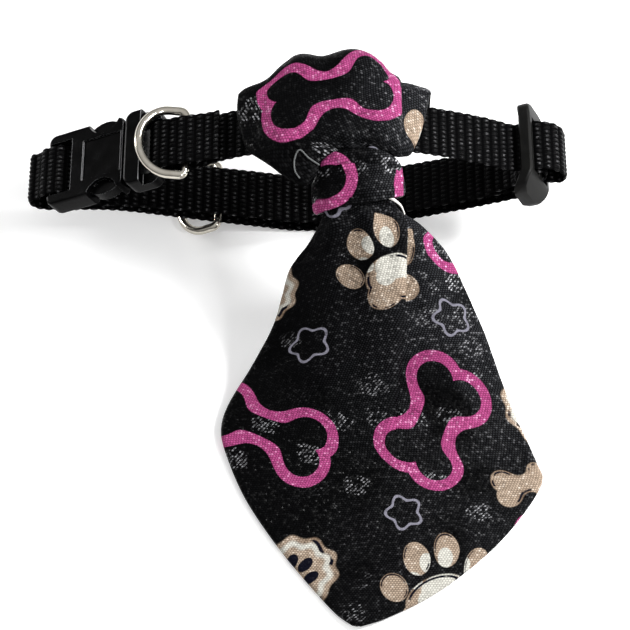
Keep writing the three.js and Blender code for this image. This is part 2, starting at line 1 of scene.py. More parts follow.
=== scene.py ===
# Looks of a dog necktie on a webbing collar: satin cloth, ribbed nylon, moulded plastic and nickel wire.
# Sizes are millimetres in the collar's own place: its strap is centred on y = 0 and lies on z = 0.
from functools import partialmethod, reduce
import math
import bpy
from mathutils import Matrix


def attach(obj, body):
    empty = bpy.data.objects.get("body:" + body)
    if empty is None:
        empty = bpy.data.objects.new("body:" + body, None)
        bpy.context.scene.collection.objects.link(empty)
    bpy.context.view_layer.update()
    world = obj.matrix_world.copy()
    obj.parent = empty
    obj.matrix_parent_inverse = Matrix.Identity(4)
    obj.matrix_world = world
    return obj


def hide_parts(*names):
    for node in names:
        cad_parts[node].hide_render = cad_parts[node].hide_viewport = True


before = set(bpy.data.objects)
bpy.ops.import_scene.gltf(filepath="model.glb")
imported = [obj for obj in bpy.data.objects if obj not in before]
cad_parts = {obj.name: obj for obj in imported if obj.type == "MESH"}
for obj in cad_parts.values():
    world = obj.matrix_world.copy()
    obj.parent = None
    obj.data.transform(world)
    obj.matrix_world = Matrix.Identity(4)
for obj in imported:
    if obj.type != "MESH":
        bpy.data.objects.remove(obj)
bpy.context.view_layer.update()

from types import SimpleNamespace as Values

import bmesh
import bpy
import numpy as np
from mathutils import Vector

PLACE = np.array([5.4, 51.7, 0.0])
METRES = 0.001
SAME_PLACE = 1e-3 * METRES
ROOT = "collar_and_tie"


def table(names, rows):
    """A table of named columns."""
    return {name: np.array(values, float) for name, values in zip(names.split(), zip(*rows))}


# Camera and stage. Each lamp has its place, aim and size in metres, and its watts.
VIEW = Values(
    look_at=(0.0, -38.4, 8.6), elevation=62.0, distance=600.0, lens=127.0, sensor=36.0, clip_end=20.0,
)
SKY = Values(level=0.1, rise=0.7)
LAMPS = {
    "window": ((0.62, 0.44, 0.62), (0.0, 0.0, 0.02), 0.16, 3.5),
    "near_lamp": ((0.26, 0.04, 0.26), (0.02, 0.02, 0.03), 0.09, 1.6),
    "front_lamp": ((0.70, -0.55, 0.75), (0.0, -0.02, 0.02), 0.16, 3.5),
    "edge_strip": ((-0.9, 0.48, 0.13), (-0.04, 0.05, 0.03), 0.18, 4.0),
}
FLOOR = Values(
    reach=4.0, roughness=0.8, glow=0.3, tone=(0.02, 2.0), dark=(0.88, 0.88, 0.88), light=(0.91, 0.91, 0.91),
)

# Collar
WEBBING = Values(
    width=15.0, thick=1.4, rib=2.5, beads=11, per_rib=5, per_bead=4, per_span=40, relief=0.42, crest=1.3,
    dip=0.2, bead_low=0.15, edge=0.25, scallop=0.34, scallop_level=0.8,
)
# Painted shade on the back strand: it darkens from left to right behind the knot, below where it turns up.
STRAND_PAINTED_SHADE = Values(left=6.0, right=22.0, low=20.0, high=26.0, share=0.85)
BUCKLE = Values(x=-50.4, z=28.8, tilt=-28.0)
SLIDER = Values(x=59.0, z=29.2, tilt=65.0)
MOULD = Values(flat=1.0, sharp=32.0, edge=0.1, segments=3)
RING = Values(
    wire=2.4, half_width=10.0, straight=4.4, reach=12.6, corner=1.6, steps=150, sides=20, corner_steps=9,
    bow_steps=60,
)
FRONT_RING = Values(x=-34.7, z=34.3, tilt=9.0)
BACK_RING = Values(x=-27.0, z=7.7, tilt=-30.5)

BACK_STRAND = table("x z apart", [
    (50.5, 16.2, 3.6), (45.2, 14.0, 4.2), (30.4, 8.4, 4.6), (15.0, 2.9, 4.8), (8.5, 0.6, 4.9),
    (1.5, 0.2, 5.3), (-5.5, 0.6, 4.9), (-15.3, 2.8, 4.8), (-27.0, 5.4, 4.6), (-37.3, 7.9, 4.2),
    (-54.9, 11.8, 2.6), (-66.0, 12.1, 1.9),
])
FRONT_STRAND = table("x z", [
    (49.0, 34.0), (44.3, 36.0), (31.5, 40.2), (18.0, 43.3), (5.0, 44.5), (-8.0, 42.9), (-20.0, 39.4),
    (-25.6, 37.0), (-30.0, 34.4), (-34.7, 31.9),
])

# Tie
CLOTH = {"loop": 1.6, "knot": 1.8, "blade": 2.0}
KNOT = Values(
    x=11.4, y=-17.2, z=40.0, slope=27.0, half_width=11.4, half_height=6.4, roundness=2.7,
    taper=0.05, swell=0.08, upper_front=10.0, upper_side=3.1, upper_slant=1.5, lower=4.8,
    lower_slant=-2.4,
)
KNOT_ROLLS = table("height at width", [(0.05, -0.86, 0.16), (-0.10, -0.58, 0.07), (-0.04, 0.6, 0.05)])
KNOT_CREASES = Values(height=0.014, round=70.0, down=7.0, size=9.0, seed=11)
LOOP = table("y z left right hang_left hang_right arch", [
    (-17.1, 42.0, 3.0, 19.8, 0, 0, 0),
    (-10.2, 44.9, 3.0, 20.0, 0, 0, 0),
    (-9.6, 46.8, -1.9, 20.8, 9.4, 1.8, 0.3),
    (-8.5, 48.3, -8.0, 22.8, 8.3, 3.2, 0.6),
    (-6.6, 49.9, -12.6, 25.2, 6.6, 4.2, 0.9),
    (-1.6, 50.4, -18.0, 27.6, 6.4, 3.2, 1),
    (4.6, 50.3, -20.5, 29.6, 3.0, 1.6, 1),
    (11.0, 50.0, -20.5, 30.8, 0, 0, 1),
    (17.5, 49.3, -20.5, 30.8, 0, 0, 1),
    (20.5, 46.6, -20.5, 30.8, 0, 0, 1),
    (17.5, 43.7, -20.5, 30.8, 0, 0, 1),
    (9.0, 42.0, -20.5, 30.8, 0, 0, 1),
    (0.0, 41.5, -19.5, 30.0, 0, 0, 1),
    (-4.0, 41.1, -10.0, 25.5, 0, 0, 1),
    (-7.4, 41.9, -0.4, 19.5, 4.6, 0, 0.5),
    (-15.5, 38.7, 3.6, 19.2, 0, 0, 0),
])
LOOP_FOLD_LINE = table("x y", [
    (-20.5, 8.8), (-18.2, 10.4), (-13.3, 12.4), (-6.7, 18.4), (-3.2, 19.8), (2.0, 18.6), (8.0, 20.6),
    (12.5, 20.6), (17.3, 17.2), (20.8, 11.8), (25.0, 10.8), (29.0, 9.9), (30.8, 8.8),
])
LOOP_REACH = Values(start=7.5, full=20.5)
LOOP_CORNER = Values(droop=0.3, power=4)
GATHER = Values(start=0.03, full=0.14)
LOOP_FOLDS = table("start end height width fade", [
    (-0.55, -0.75, 1.1, 0.16, 0.34), (0.05, 0.0, 0.9, 0.14, 0.38), (0.5, 0.52, 1.2, 0.13, 0.53),
])
BLADE = table("left_x left_y right_x right_y droop", [
    (3.2, -18.8, 19.2, -18.2, 0),
    (2.0, -24.2, 21.8, -22.8, 2.2),
    (-1.2, -28.6, 28.6, -26.0, 4.2),
    (-6.6, -33.2, 34.8, -30.0, 6.6),
    (-8.8, -38.4, 39.6, -36.4, 6.2),
    (-11.4, -45.0, 44.8, -45.4, 4.4),
    (-17.4, -53.6, 49.6, -55.6, 4.4),
    (-23.2, -62.4, 54.6, -67.6, 3.4),
    (-25.0, -69.3, 58.6, -78.4, 1.8),
    (-23.6, -76.4, 59.8, -84.4, 1.0),
    (-18.4, -88.9, 53.6, -94.6, 0.6),
    (-10.4, -101.6, 44.6, -104.6, 0.6),
    (-2.6, -111.8, 31.4, -115.2, 0.6),
    (5.0, -120.6, 18.4, -122.0, 0.5),
    (9.6, -124.2, 11.6, -124.4, 0.2),
])
BLADE_HEIGHT = table("y z", [
    (-18.6, 41.9), (-24.6, 39.2), (-32.0, 31.8), (-42.0, 21.4), (-52.0, 12.4), (-62.0, 6.2), (-72.0, 3.2),
    (-85.0, 1.9), (-105.0, 1.6), (-126.0, 1.4),
])
BLADE_FOLDS = table("start end height width fade", [
    (-0.62, -0.4, 2.0, 0.2, 0.6), (0.05, -0.05, 1.8, 0.17, 0.62), (0.66, 0.55, 1.3, 0.17, 0.5),
])
PLEAT = Values(
    start_x=21.6, end_x=19.8, step=3.6, sharp=0.8, soft=12.0, overhang=2.4,
    start=0.09, full=0.19, ease=0.36, fade=0.62,
)
LOOP_PLEAT = Values(
    x=20.8, step=1.6, sharp=0.8, soft=7.0, overhang=1.2,
    start=0.25, full=0.32, ease=0.5, fade=0.63,
)
LIP = 0.2
# Painted light on the satin: the level of painted shade, the light painted along the pleat's crease, the
# reach of its edge high on the blade and lower down, and the share of it left near the tip.
SATIN_PAINTED_LIGHT = Values(dull=0.05, fold=0.5, crisp=0.6, soft=18.0, lower=0.4)

# Unevenness of the cloth: waves with their height, size and seed, and where on a sheet they show.
WAVES = Values(count=9, shortest=0.7, longest=1.5, level=1.6)
FINE_WAVES = {"loop": [(0.55, 16.0, 3), (0.2, 5.5, 4)], "blade": [(0.5, 24.0, 5), (0.16, 7.0, 6)]}
LOOP_SEEN = Values(start=0.18, full=0.28, ease=0.53, fade=0.63)
BLADE_SEEN = Values(start=0.08, full=0.2, lying=1.0, raised=8.0)
PUCKERS = Values(at=0.25, reach=0.07, rate=13.0, drift=2.0, size=12.0, seed=8, height=0.3)
EDGE_POWER = 4

# Sheets: rows and columns, the place and turn of the cloth on the print, and the line right of which light is
# painted on the satin, with the reach of its edge.
SHEETS = {
    "loop": {"grid": (220, 140), "shift": (36.0, -4.0), "turn": 22.0, "lit_from": 10.0, "reach": 16.0},
    "knot": {"grid": (220, 64), "shift": (10.0, 20.0), "turn": 96.0, "lit_from": 14.0, "reach": 8.0},
    "blade": {"grid": (240, 170), "shift": (60.0, 130.0), "turn": 188.0},
}

# Loose threads: points along each, its radius at the start and at the end, and its colour.
THREADS = {
    "grey_thread": {
        "points": [
            (1.2, -14.4, 46.4), (-1.6, -13.0, 47.7), (-4.0, -11.2, 48.8), (-5.3, -13.2, 47.6),
            (-5.2, -16.0, 46.3), (-3.9, -17.8, 45.4),
        ],
        "radius": (0.24, 0.2), "colour": (0.085, 0.09, 0.09),
    },
    "white_thread": {
        "points": [(18.6, -21.6, 43.0), (20.6, -22.4, 42.2), (22.4, -23.4, 40.8), (23.4, -25.0, 39.2)],
        "radius": (0.5, 0.16), "colour": (0.80, 0.78, 0.74),
    },
}
THREAD = Values(sides=10, per_point=12, roughness=0.6, ply=(2.4, 2.0), shade=0.7, depth=0.08)


# Curves and waves

def curve(values, row):
    """A smooth curve through evenly spaced values, read at fractional rows."""
    last = len(values) - 1
    i = np.clip(np.floor(row).astype(int), 0, last - 1)
    f = row - i
    a, b, c, d = (values[np.clip(i + k, 0, last)] for k in (-1, 0, 1, 2))
    return b + 0.5 * f * (c - a + f * (2 * a - 5 * b + 4 * c - d + f * (3 * (b - c) + d - a)))


def look_up(source, key, name, value):
    """A column of a table where its key column has a value."""
    keys = source[key]
    rows = np.arange(len(keys), dtype=float)
    if keys[-1] < keys[0]:
        keys, rows = keys[::-1], rows[::-1]
    return curve(source[name], np.interp(value, keys, rows))


def smooth(value, low, high):
    f = np.clip((value - low) / (high - low), 0, 1)
    return f * f * (3 - 2 * f)


def bump(distance, width):
    return np.exp(-((distance / width) ** 2))


def mix(a, b, f):
    return a + (b - a) * f


def part_way(s, span):
    """1 along part of a sheet, easing in and out of it as the span says."""
    return smooth(s, span.start, span.full) * (1 - smooth(s, span.ease, span.fade))


def off_edges(t):
    """1 in the middle of a sheet and 0 at its edges."""
    return 1 - t ** EDGE_POWER


def flattened(value, power):
    """A sine or cosine for a rounded box in place of a circle."""
    return np.sign(value) * np.abs(value) ** power


def waves(x, y, size, seed):
    """Soft uneven waves of about a size, between -1 and 1."""
    draw = np.random.default_rng(seed)
    total = np.zeros_like(np.asarray(x, float))
    for _ in range(WAVES.count):
        heading = draw.uniform(0, 2 * math.pi)
        rate = 2 * math.pi / (size * draw.uniform(WAVES.shortest, WAVES.longest))
        phase = draw.uniform(0, 2 * math.pi)
        total += np.sin((x * math.cos(heading) + y * math.sin(heading)) * rate + phase)
    return total / WAVES.count ** 0.5 / WAVES.level


def fine_waves(sheet, x, y):
    """Fine unevenness of a sheet of cloth."""
    return sum(height * waves(x, y, size, seed) for height, size, seed in FINE_WAVES[sheet])


def gathers(folds, s, t):
    """Ridges of gathered cloth: s runs along the sheet from the knot and t across it."""
    height = np.zeros_like(s)
    grown = smooth(s, GATHER.start, GATHER.full)
    for start, end, high, width, fade in zip(*folds.values()):
        left = np.maximum(0, 1 - s / fade)
        at = mix(start, end, np.minimum(1, s / fade))
        height += high * grown * np.sqrt(left) * bump(t - at, width)
    return height


# Meshes

def new_object(name, data):
    thing = bpy.data.objects.new(name, data)
    bpy.context.scene.collection.objects.link(thing)
    return thing


def shade_smooth(mesh):
    mesh.polygons.foreach_set("use_smooth", [True] * len(mesh.polygons))


def weld(mesh):
    """Joins points that lie together, and turns the faces outward."""
    work = bmesh.new()
    work.from_mesh(mesh)
    bmesh.ops.remove_doubles(work, verts=work.verts, dist=SAME_PLACE)
    bmesh.ops.recalc_face_normals(work, faces=work.faces)
    work.to_mesh(mesh)
    work.free()
    shade_smooth(mesh)


def new_piece(name, points, faces, body=ROOT, cloth=None):
    """A mesh piece from points in millimetres.

    cloth holds each point's place on the flat cloth, in millimetres, and its painted light: 1 where fully
    lit, less where shade is painted.
    """
    mesh = bpy.data.meshes.new(name)
    mesh.from_pydata(((points + PLACE) * METRES).tolist(), [], faces)
    mesh.validate()
    if cloth is not None:
        layer = mesh.attributes.new("cloth", "FLOAT_VECTOR", "POINT")
        layer.data.foreach_set("vector", cloth.ravel())
    piece = new_object(name, mesh)
    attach(piece, body)
    weld(mesh)
    return piece


def grid_faces(rows, columns, closed_rows=False, closed_columns=False):
    """Faces of a grid of points stored row by row."""
    i = np.arange(rows if closed_rows else rows - 1)[:, None]
    j = np.arange(columns if closed_columns else columns - 1)[None, :]
    after_i = (i + 1) % rows
    after_j = (j + 1) % columns
    corners = [i * columns + j, after_i * columns + j, after_i * columns + after_j, i * columns + after_j]
    return np.stack(np.broadcast_arrays(*corners), axis=-1).reshape(-1, 4)


def across(points, axis, closed=False):
    """Differences of a grid of points along an axis."""
    if closed:
        return np.roll(points, -1, axis) - np.roll(points, 1, axis)
    return np.gradient(points, axis=axis)


def unit(vectors):
    return vectors / np.linalg.norm(vectors, axis=-1, keepdims=True)


def run_length(points, axis):
    """Length run along a grid of points."""
    steps = np.linalg.norm(np.diff(points, axis=axis), axis=-1)
    start = np.zeros_like(np.take(steps, [0], axis=axis))
    return np.concatenate([start, np.cumsum(steps, axis=axis)], axis=axis)


def sheet_piece(name, sheet, surface, closed=False):
    """A sheet of folded cloth about a surface, its edges rounded as a fold is."""
    rows, columns = SHEETS[sheet]["grid"]
    thick = CLOTH[sheet]
    s = np.linspace(0, 1, rows, endpoint=not closed)[:, None] + np.zeros((1, columns))
    t = np.linspace(-1, 1, columns)[None, :] + np.zeros((rows, 1))
    middle = surface(s, t)
    out = unit(np.cross(across(middle, 0, closed), across(middle, 1)))
    width = np.linalg.norm(np.diff(middle, axis=1), axis=-1).sum(axis=1)[:, None]
    inset = (1 - np.abs(t)) * width / 2
    if not closed:
        length = np.linalg.norm(np.diff(middle, axis=0), axis=-1).sum(axis=0)[None, :]
        inset = np.minimum(inset, np.minimum(s, 1 - s) * length)
    roll = np.clip(1 - inset / thick, 0, 1)
    half = (thick / 2 * np.sqrt(1 - roll ** 2))[..., None]
    over = middle + out * half
    under = middle - out * half
    top = grid_faces(rows, columns, closed_rows=closed)
    bottom = top[:, ::-1] + rows * columns
    points = np.concatenate([over.reshape(-1, 3), under.reshape(-1, 3)])
    faces = np.concatenate([top, bottom]).tolist()
    flat = flat_place(sheet, middle, sheet_painted_light(sheet, middle, s, t)).reshape(-1, 3)
    return new_piece(name, points, faces, cloth=np.concatenate([flat, flat]))


# Tie

def pleated(x, crease, left, pleat):
    """Shift and lift of cloth along a pleat: the cloth left of the crease lies over the cloth right of it."""
    past = crease - x
    over = smooth(past, -pleat.sharp, pleat.sharp)
    settled = np.exp(-np.maximum(0, past) / pleat.soft)
    lip = bump(past / pleat.sharp - LIP, 1.0)
    return pleat.overhang * left * lip, pleat.step * left * over * settled


def loop_surface(s, t):
    """Cloth over the strap: s from the front of the knot over the strap to its back, t left to right."""
    row = s * (len(LOOP["y"]) - 1)
    x = mix(curve(LOOP["left"], row), curve(LOOP["right"], row), (t + 1) / 2)
    hang = np.where(t < 0, curve(LOOP["hang_left"], row), curve(LOOP["hang_right"], row))
    hang = hang * t ** LOOP_CORNER.power
    y = curve(LOOP["y"], row) - hang
    near, full = LOOP_REACH.start, LOOP_REACH.full
    reach = (look_up(LOOP_FOLD_LINE, "x", "y", x) - near) / (full - near)
    y = np.where(y > near, near + (y - near) * reach, y)
    drop = look_up(FRONT_STRAND, "x", "z", x) - FRONT_STRAND["z"].max()
    z = curve(LOOP["z"], row) + curve(LOOP["arch"], row) * drop - LOOP_CORNER.droop * hang
    z = z + gathers(LOOP_FOLDS, s, t)
    shift, lift = pleated(x, LOOP_PLEAT.x, part_way(s, LOOP_PLEAT), LOOP_PLEAT)
    drift = PUCKERS.drift * waves(x, y, PUCKERS.size, PUCKERS.seed)
    puckers = bump(s - PUCKERS.at, PUCKERS.reach) * np.sin(t * PUCKERS.rate + drift) * off_edges(t)
    z = z + lift + part_way(s, LOOP_SEEN) * fine_waves("loop", x, y) + PUCKERS.height * puckers
    return np.stack([x + shift, y, z], axis=-1)


def knot_surface(s, t):
    """Band of the knot: s round it, t along the tie from its upper edge to its lower one."""
    turn = 2 * math.pi * s
    slope = math.radians(KNOT.slope)
    power = 2 / KNOT.roundness
    rolled = sum(high * bump(t - at, width) for high, at, width in zip(*KNOT_ROLLS.values()))
    around, down = s * KNOT_CREASES.round, t * KNOT_CREASES.down
    uneven = waves(around, down, KNOT_CREASES.size, KNOT_CREASES.seed)
    creases = KNOT_CREASES.height * uneven * off_edges(t)
    swell = 1 + KNOT.swell * (1 - t * t) + KNOT.taper * t + rolled + creases
    aside, front = np.cos(turn), np.sin(turn)
    wide = (KNOT.half_width - CLOTH["knot"] / 2) * swell * flattened(aside, power)
    high = (KNOT.half_height - CLOTH["knot"] / 2) * swell * flattened(front, power)
    upper_side = KNOT.upper_side + KNOT.upper_slant * aside
    upper = mix(upper_side, KNOT.upper_front, np.maximum(0, front))
    along = np.where(t < 0, upper, KNOT.lower + KNOT.lower_slant * aside) * t
    x = KNOT.x + wide
    y = KNOT.y - along * math.cos(slope) - high * math.sin(slope)
    z = KNOT.z - along * math.sin(slope) + high * math.cos(slope)
    return np.stack([x, y, z], axis=-1)


def blade_plan(s, t):
    """Plan of the blade before it is pleated, and where the pleat's crease is."""
    row = s * (len(BLADE["droop"]) - 1)
    x = mix(curve(BLADE["left_x"], row), curve(BLADE["right_x"], row), (t + 1) / 2)
    y = mix(curve(BLADE["left_y"], row), curve(BLADE["right_y"], row), (t + 1) / 2)
    crease = mix(PLEAT.start_x, PLEAT.end_x, np.minimum(1, s / PLEAT.fade))
    return x, y, crease


def blade_surface(s, t):
    """Blade: s from inside the knot to the tip, t from its left edge to its right one."""
    x, y, crease = blade_plan(s, t)
    droop = curve(BLADE["droop"], s * (len(BLADE["droop"]) - 1))
    height = look_up(BLADE_HEIGHT, "y", "z", y) - droop * t * t
    shift, lift = pleated(x, crease, part_way(s, PLEAT), PLEAT)
    lift = lift + gathers(BLADE_FOLDS, s, t)
    off_knot = smooth(s, BLADE_SEEN.start, BLADE_SEEN.full)
    seen = off_knot * smooth(height, BLADE_SEEN.lying, BLADE_SEEN.raised)
    z = np.maximum(height + lift + fine_waves("blade", x, y) * seen, CLOTH["blade"] / 2)
    return np.stack([x + shift, y, z], axis=-1)


def painted_light_right_of(x, middle, reach):
    """Painted light on satin: full light right of a middle line and painted shade left of it."""
    return mix(SATIN_PAINTED_LIGHT.dull, 1.0, smooth(x - middle, -reach, reach))


def blade_painted_light(s, t):
    """Painted light on the blade: full light on its right part under the pleat, some light painted along the
    crease, and painted shade on its left part and towards its tip.
    """
    x, _, crease = blade_plan(s, t)
    lower = smooth(s, PLEAT.ease, PLEAT.fade)
    reach = mix(SATIN_PAINTED_LIGHT.crisp, SATIN_PAINTED_LIGHT.soft, lower)
    near = np.maximum(painted_light_right_of(x, crease, reach), SATIN_PAINTED_LIGHT.fold * bump(x - crease, SATIN_PAINTED_LIGHT.soft))
    return near * mix(1.0, SATIN_PAINTED_LIGHT.lower, lower)


def sheet_painted_light(sheet, points, s, t):
    """Painted light on a sheet of satin at its points."""
    if sheet == "blade":
        return blade_painted_light(s, t)
    return painted_light_right_of(points[..., 0], SHEETS[sheet]["lit_from"], SHEETS[sheet]["reach"])


def flat_place(sheet, points, painted_light):
    """Where the points of a sheet lie on the flat cloth, in millimetres, with the light painted there."""
    shift = SHEETS[sheet]["shift"]
    turn = math.radians(SHEETS[sheet]["turn"])
    u = run_length(points, 1)
    u = u - u[:, [u.shape[1] // 2]]
    v = run_length(points, 0)[:, [u.shape[1] // 2]] + np.zeros_like(u)
    c, d = math.cos(turn), math.sin(turn)
    return np.stack([shift[0] + u * c - v * d, shift[1] + u * d + v * c, painted_light], axis=-1)


def tie(satin):
    loop = sheet_piece("tie_loop_cloth", "loop", loop_surface)
    knot = sheet_piece("tie_knot_cloth", "knot", knot_surface, closed=True)
    blade = sheet_piece("tie_blade_cloth", "blade", blade_surface)
    for piece, node in ((loop, "tie_loop"), (knot, "tie_knot"), (blade, "tie_blade")):
        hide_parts(node)
        piece.data.materials.append(satin)


def thread(name, points, radius, colour):
    """A loose sewing thread, a thin tube that narrows to its end."""
    rows = np.linspace(0, len(points) - 1, THREAD.per_point * len(points))
    line = np.stack([curve(column, rows) for column in np.array(points).T], axis=-1)
    heading = np.gradient(line, axis=0)
    side = unit(np.cross(heading, (0, 0, 1)))
    rise = np.cross(side, unit(heading))
    size = np.linspace(*radius, len(line))[:, None, None]
    size[[0, -1]] = 0
    turn = np.linspace(0, 2 * math.pi, THREAD.sides, endpoint=False)[None, :, None]
    tube = line[:, None] + size * (side[:, None] * np.cos(turn) + rise[:, None] * np.sin(turn))
    faces = grid_faces(len(line), THREAD.sides, closed_columns=True).tolist()
    piece = new_piece(name, tube.reshape(-1, 3), faces)
    piece.data.materials.append(thread_finish(name, colour))


# Collar

def in_collar(place, along, out):
    """A point given in a piece's own frame, as x and z in the plane of the collar."""
    turn = math.radians(place.tilt)
    x = place.x + along * math.cos(turn) + out * math.sin(turn)
    z = place.z - along * math.sin(turn) + out * math.cos(turn)
    return x, z


def strap_route():
    """The strap's middle line, from its end sewn round the slider's bar to its end folded by the ring."""
    slider = [
        (1.2, -6.0), (-1.0, -4.6), (-2.05, -2.8), (-2.15, -0.8), (-2.15, 1.2), (-1.6, 2.6), (0, 3.0),
        (1.6, 2.6), (2.15, 1.2), (2.15, -0.8), (2.4, -2.8), (3.6, -4.4), (4.6, -5.8), (4.6, -7.4),
    ]
    sewn_end = [(46.5, 20.6), (50.6, 22.4)] + [in_collar(SLIDER, *p) for p in slider]
    inner_back = list(zip(BACK_STRAND["x"], BACK_STRAND["z"] + BACK_STRAND["apart"]))[1:]
    socket = [
        (-25.2, -2.9), (-22.6, -2.8), (-20.2, -2.3), (-18.7, -0.9), (-18.7, 0.9), (-20.2, 2.5), (-22.6, 3.0),
        (-25.6, 3.0), (-27.4, 2.0),
    ]
    round_bar = [(-71.4, 14.0), (-73.4, 14.1)] + [in_collar(BUCKLE, *p) for p in socket]
    round_bar += [(-78.0, 16.4), (-77.2, 13.6), (-74.2, 12.2), (-70.6, 12.0)]
    outer_back = list(zip(BACK_STRAND["x"], BACK_STRAND["z"]))[::-1]
    through = [
        (8.3, -3.4), (6.6, -2.85), (5.0, -2.75), (4.15, -2.0), (3.95, -0.6), (3.9, 0.8), (3.95, 2.4),
        (5.2, 4.2), (5.2, 6.4), (2.9, 7.4), (-0.6, 6.4), (-3.0, 4.0), (-3.9, 1.8), (-3.95, 0.2),
        (-4.0, -1.4), (-4.4, -2.8), (-5.6, -4.6),
    ]
    through_slider = [(56.0, 18.6)] + [in_collar(SLIDER, *p) for p in through]
    front = list(zip(FRONT_STRAND["x"], FRONT_STRAND["z"]))
    plug = [(10.6, -3.9), (8.8, -3.9), (7.4, -3.1), (6.85, -1.8), (7.1, -0.5), (8.2, 0.25), (10.4, 0.5)]
    folded = [in_collar(BUCKLE, *p) for p in plug]
    folded += [(-38.6, 35.2), (-34.7, 36.6), (-30.0, 37.5), (-25.6, 39.1)]
    return np.array(sewn_end + inner_back + round_bar + outer_back + through_slider + front + folded)


def through_points(points):
    """A curve through points that neither loops nor overshoots where they lie close together."""
    p = np.vstack([2 * points[0] - points[1], points, 2 * points[-1] - points[-2]])
    f = np.linspace(0, 1, WEBBING.per_span, endpoint=False)[:, None]
    spans = []
    for a, b, c, d in zip(p, p[1:], p[2:], p[3:]):
        before, here, after = (math.sqrt(np.linalg.norm(q)) for q in (b - a, c - b, d - c))
        leave = here * ((b - a) / before - (c - a) / (before + here) + (c - b) / here)
        arrive = here * ((c - b) / here - (d - b) / (here + after) + (d - c) / after)
        bend = 3 * (c - b) - 2 * leave - arrive
        twist = 2 * (b - c) + leave + arrive
        spans.append(b + leave * f + bend * f ** 2 + twist * f ** 3)
    return np.vstack(spans + [points[-1:]])


def strap_line(step):
    """Evenly spaced points and outward directions along the strap's middle line, as x and z."""
    fine = through_points(strap_route())
    fine[:, 1] = np.maximum(fine[:, 1], WEBBING.thick / 2)
    run = run_length(fine, 0)
    length = run[-1]
    at = np.linspace(0, length, int(round(length / step)) + 1)
    line = np.column_stack([np.interp(at, run, fine[:, k]) for k in (0, 1)])
    heading = unit(np.gradient(line, axis=0))
    out = np.column_stack([-heading[:, 1], heading[:, 0]])
    return at, line, out


def bead_height(along, over):
    """Relief of the webbing: columns of beads across it, each second column set half a bead over."""
    rib = along / WEBBING.rib
    pitch = WEBBING.width / WEBBING.beads
    shift = 0.5 * (np.floor(rib) % 2)
    column = np.clip(WEBBING.crest * np.sin(math.pi * (rib % 1)) - WEBBING.dip, 0, 1)
    bead = np.abs(np.cos(math.pi * (over / pitch + shift)))
    return column * mix(WEBBING.bead_low, 1, bead)


def collar_webbing(nylon):
    at, line, out = strap_line(WEBBING.rib / WEBBING.per_rib)
    columns = WEBBING.beads * WEBBING.per_bead + 1
    over = np.linspace(-1, 1, columns)[None, :] * WEBBING.width / 2 + np.zeros((len(at), 1))
    along = at[:, None] + np.zeros((1, columns))
    edge = np.clip((WEBBING.width / 2 - np.abs(over)) / WEBBING.thick, 0, 1)
    bulge = np.sqrt(1 - (1 - edge) ** 2)
    sunk = WEBBING.relief * (1 - bead_height(along, over))
    half = (WEBBING.thick / 2 - sunk) * mix(WEBBING.edge, 1, bulge)
    swing = np.sin(math.pi * (along / WEBBING.rib % 1)) - WEBBING.scallop_level
    y = over + np.sign(over) * (WEBBING.scallop * swing) * (1 - edge)
    sides = []
    for turn in (1, -1):
        x = line[:, [0]] + turn * out[:, [0]] * half
        z = line[:, [1]] + turn * out[:, [1]] * half
        sides.append(np.stack([x, y, z], axis=-1)[:, ::turn])
    rings = np.concatenate(sides, axis=1)
    count = 2 * columns
    faces = grid_faces(len(at), count, closed_columns=True).tolist()
    last = (len(at) - 1) * count
    for k in range(columns - 1):
        faces.append([k, k + 1, count - 2 - k, count - 1 - k])
        faces.append([last + count - 1 - k, last + count - 2 - k, last + k + 1, last + k])
    # Painted shade on the back strand right of the knot, where it lies low.
    right = smooth(line[:, [0]], STRAND_PAINTED_SHADE.left, STRAND_PAINTED_SHADE.right)
    low = 1 - smooth(line[:, [1]], STRAND_PAINTED_SHADE.low, STRAND_PAINTED_SHADE.high)
    painted_light = 1 - STRAND_PAINTED_SHADE.share * (right * low) + np.zeros_like(over)
    flat = np.stack([along, over, painted_light], axis=-1)
    cloth = np.concatenate([flat, flat[:, ::-1]], axis=1).reshape(-1, 3)
    strap = new_piece("collar_webbing", rings.reshape(-1, 3), faces, cloth=cloth)
    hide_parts("collar_strap")
    strap.data.materials.append(nylon)


# Hardware

def ring_line():
    """Middle line of a D-ring: its straight bar at x = 0 and its bow towards -x."""
    half, straight, reach, corner = RING.half_width, RING.straight, RING.reach, RING.corner
    start = (0, -half + corner)
    turn = np.linspace(0, math.pi / 2, RING.corner_steps)
    upper = np.column_stack([-corner + corner * np.cos(turn), half - corner + corner * np.sin(turn)])
    bow_turn = np.linspace(math.pi / 2, math.pi * 1.5, RING.bow_steps)
    bow = np.column_stack([-straight + (reach - straight) * np.cos(bow_turn), half * np.sin(bow_turn)])
    lower = upper[::-1] * (1, -1)
    closed = np.vstack([start, upper, bow, lower, start])
    run = run_length(closed, 0)
    at = np.linspace(0, run[-1], RING.steps, endpoint=False)
    return np.column_stack([np.interp(at, run, closed[:, k]) for k in (0, 1)])


def d_ring(name, node, place, body, nickel):
    line = ring_line()
    heading = np.roll(line, -1, 0) - np.roll(line, 1, 0)
    side = unit(np.column_stack([heading[:, 1], -heading[:, 0]]))
    turn = np.linspace(0, 2 * math.pi, RING.sides, endpoint=False)
    radius = RING.wire / 2
    along = line[:, [0]] + side[:, [0]] * radius * np.cos(turn)
    y = line[:, [1]] + side[:, [1]] * radius * np.cos(turn)
    x, z = in_collar(place, along, radius * np.sin(turn) + np.zeros_like(along))
    points = np.stack([x, y, z], axis=-1).reshape(-1, 3)
    faces = grid_faces(len(line), RING.sides, closed_rows=True, closed_columns=True).tolist()
    ring = new_piece(name, points, faces, body)
    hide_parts(node)
    ring.data.materials.append(nickel)


